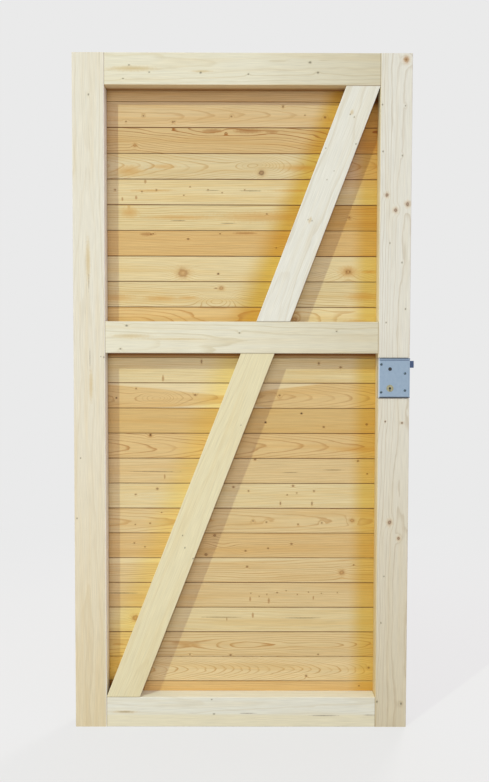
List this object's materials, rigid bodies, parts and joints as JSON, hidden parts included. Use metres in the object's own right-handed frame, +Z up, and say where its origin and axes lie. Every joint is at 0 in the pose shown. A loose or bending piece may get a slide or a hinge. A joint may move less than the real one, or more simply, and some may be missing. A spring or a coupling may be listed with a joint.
{
  "type": "barn door leaf",
  "caption": "Braced barn door leaf: tenoned pale softwood frame with rails and diagonal braces, level tongue-and-groove boards behind it, and a rim lock with a spring latch and dead bolt.",
  "frame": {"origin": "middle of the leaf's width and thickness at its bottom edge", "axes": "+Z up the leaf, +X from the hinge edge to the lock edge, +Y from the frame side to the board side"},
  "size_m": [1.03, 0.07, 2.04],
  "materials": {
    "spruce": "planed, unfinished pale spruce",
    "pine_boards": "planed, unfinished honey pine with knots",
    "zinc_nails": "zinc plated, dull",
    "zinc_sheet": "zinc plated sheet, blue-grey, satin",
    "zinc_screws": "zinc plated, satin",
    "bolt_steel": "dark blued steel, satin",
    "spring_steel": "oiled spring steel",
    "brass": "turned brass, satin"
  },
  "bodies": {
    "leaf": {"hinge_stile": "spruce", "lock_stile": "spruce", "top_rail": "spruce", "mid_rail": "spruce", "bottom_rail": "spruce", "upper_brace": "spruce", "lower_brace": "spruce", "board_01": "pine_boards", "board_02": "pine_boards", "board_03": "pine_boards", "board_04": "pine_boards", "board_05": "pine_boards", "board_06": "pine_boards", "board_07": "pine_boards", "board_08": "pine_boards", "board_09": "pine_boards", "board_10": "pine_boards", "board_11": "pine_boards", "board_12": "pine_boards", "board_13": "pine_boards", "board_14": "pine_boards", "board_15": "pine_boards", "board_16": "pine_boards", "board_17": "pine_boards", "board_18": "pine_boards", "board_19": "pine_boards", "board_20": "pine_boards", "board_21": "pine_boards", "board_22": "pine_boards", "board_23": "pine_boards", "board_24": "pine_boards", "board_25": "pine_boards", "board_26": "pine_boards", "board_27": "pine_boards", "cladding_nails": "zinc_nails", "lock_case": "zinc_sheet", "lock_cover": "zinc_sheet", "key_bush": "brass", "lock_pillars": "zinc_sheet", "lock_screws": "zinc_screws", "latch_spring": "spring_steel", "bolt_spring": "spring_steel"},
    "latch": {"latch_bolt": "bolt_steel"},
    "follower": {"follower": "bolt_steel"},
    "dead_bolt": {"dead_bolt": "bolt_steel"}
  },
  "joints": [
    {"name": "latch_slide", "type": "slide", "parent": "leaf", "child": "latch", "axis": [1, 0, 0], "range_m": [-0.0145, 0], "stiffness_N_per_m": 600, "springref_m": 0.012, "deforming": ["latch_spring"]},
    {"name": "follower_turn", "type": "hinge", "parent": "leaf", "child": "follower", "pos_m": [0.4475, -0.024, 1.101], "axis": [0, -1, 0], "range_deg": [0, 55.8]},
    {"name": "dead_bolt_throw", "type": "slide", "parent": "leaf", "child": "dead_bolt", "axis": [1, 0, 0], "range_m": [0, 0.015]}
  ],
  "couplings": [
    {"joint": "follower_turn", "follows": "latch_slide", "rad_per_m": -67.13}
  ]
}
